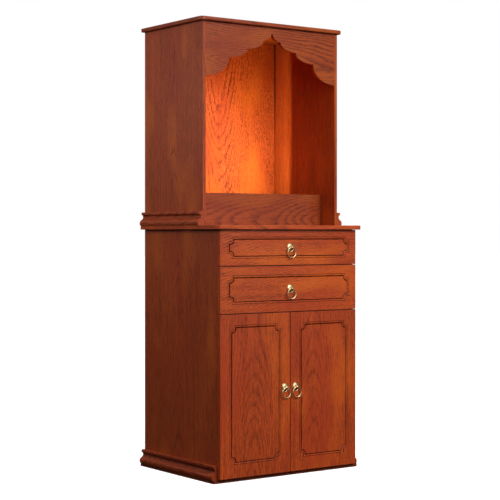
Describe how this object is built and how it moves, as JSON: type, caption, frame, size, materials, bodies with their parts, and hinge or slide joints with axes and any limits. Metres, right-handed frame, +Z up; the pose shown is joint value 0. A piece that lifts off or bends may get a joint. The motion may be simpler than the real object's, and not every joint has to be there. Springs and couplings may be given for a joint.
{
  "type": "household altar cabinet",
  "caption": "Tall household altar cabinet with an open shrine above drawers and a two-door cupboard, scalloped pelmet and brass ring pulls.",
  "frame": {"origin": "middle of the underside of the cabinet's outline box, on the floor", "axes": "+X to the viewer's right, front facing -Y, +Z up"},
  "size_m": [0.644, 0.504, 1.605],
  "materials": {
    "case_wood": "open-grained wood stained dark reddish brown under a satin lacquer, grain upright",
    "front_wood": "open-grained wood stained reddish brown under a satin lacquer, grain upright on the doors and lengthwise on the drawer fronts, pelmet, step and boards",
    "back_panel_wood": "veneered panel with a bold upright arched grain, stained like the rest",
    "drawer_box_wood": "plain light wood, thinly varnished",
    "pull_brass": "pale gold brass, cast and polished, slightly dulled in the hollows"
  },
  "bodies": {
    "cabinet": {"base_board": "case_wood", "base_moulding_left": "case_wood", "base_moulding_right": "case_wood", "side_left": "case_wood", "side_right": "case_wood", "cupboard_back": "back_panel_wood", "divider_under_drawers": "case_wood", "divider_between_drawers": "case_wood", "countertop": "front_wood", "hutch_side_left": "case_wood", "hutch_side_right": "case_wood", "hutch_back": "back_panel_wood", "hutch_moulding_left": "case_wood", "hutch_moulding_right": "case_wood", "step_riser": "front_wood", "step_board": "front_wood", "pelmet": "front_wood", "top_board": "front_wood"},
    "drawer_upper": {"drawer_upper_front": "front_wood", "drawer_upper_side_left": "drawer_box_wood", "drawer_upper_side_right": "drawer_box_wood", "drawer_upper_back": "drawer_box_wood", "drawer_upper_bottom": "drawer_box_wood", "pull_plate_drawer_upper": "pull_brass"},
    "drawer_lower": {"drawer_lower_front": "front_wood", "drawer_lower_side_left": "drawer_box_wood", "drawer_lower_side_right": "drawer_box_wood", "drawer_lower_back": "drawer_box_wood", "drawer_lower_bottom": "drawer_box_wood", "pull_plate_drawer_lower": "pull_brass"},
    "door_left": {"door_left": "front_wood", "pull_plate_door_left": "pull_brass"},
    "door_right": {"door_right": "front_wood", "pull_plate_door_right": "pull_brass"},
    "ring_drawer_upper": {"pull_ring_drawer_upper": "pull_brass"},
    "ring_drawer_lower": {"pull_ring_drawer_lower": "pull_brass"},
    "ring_door_left": {"pull_ring_door_left": "pull_brass"},
    "ring_door_right": {"pull_ring_door_right": "pull_brass"}
  },
  "joints": [
    {"name": "drawer_upper_slide", "type": "slide", "parent": "cabinet", "child": "drawer_upper", "axis": [0, -1, 0], "range_m": [0, 0.32]},
    {"name": "drawer_lower_slide", "type": "slide", "parent": "cabinet", "child": "drawer_lower", "axis": [0, -1, 0], "range_m": [0, 0.32]},
    {"name": "door_left_hinge", "type": "hinge", "parent": "cabinet", "child": "door_left", "pos_m": [-0.3, -0.218, 0.295], "axis": [0, 0, -1], "range_deg": [0, 90]},
    {"name": "door_right_hinge", "type": "hinge", "parent": "cabinet", "child": "door_right", "pos_m": [0.3, -0.218, 0.295], "axis": [0, 0, 1], "range_deg": [0, 90]},
    {"name": "ring_drawer_upper_swing", "type": "hinge", "parent": "drawer_upper", "child": "ring_drawer_upper", "pos_m": [0, -0.245, 0.80375], "axis": [-1, 0, 0], "range_deg": [-5, 175]},
    {"name": "ring_drawer_lower_swing", "type": "hinge", "parent": "drawer_lower", "child": "ring_drawer_lower", "pos_m": [0, -0.245, 0.659], "axis": [-1, 0, 0], "range_deg": [-5, 175]},
    {"name": "ring_door_left_swing", "type": "hinge", "parent": "door_left", "child": "ring_door_left", "pos_m": [-0.0235, -0.245, 0.312], "axis": [-1, 0, 0], "range_deg": [-5, 175]},
    {"name": "ring_door_right_swing", "type": "hinge", "parent": "door_right", "child": "ring_door_right", "pos_m": [0.0235, -0.245, 0.312], "axis": [-1, 0, 0], "range_deg": [-5, 175]}
  ]
}
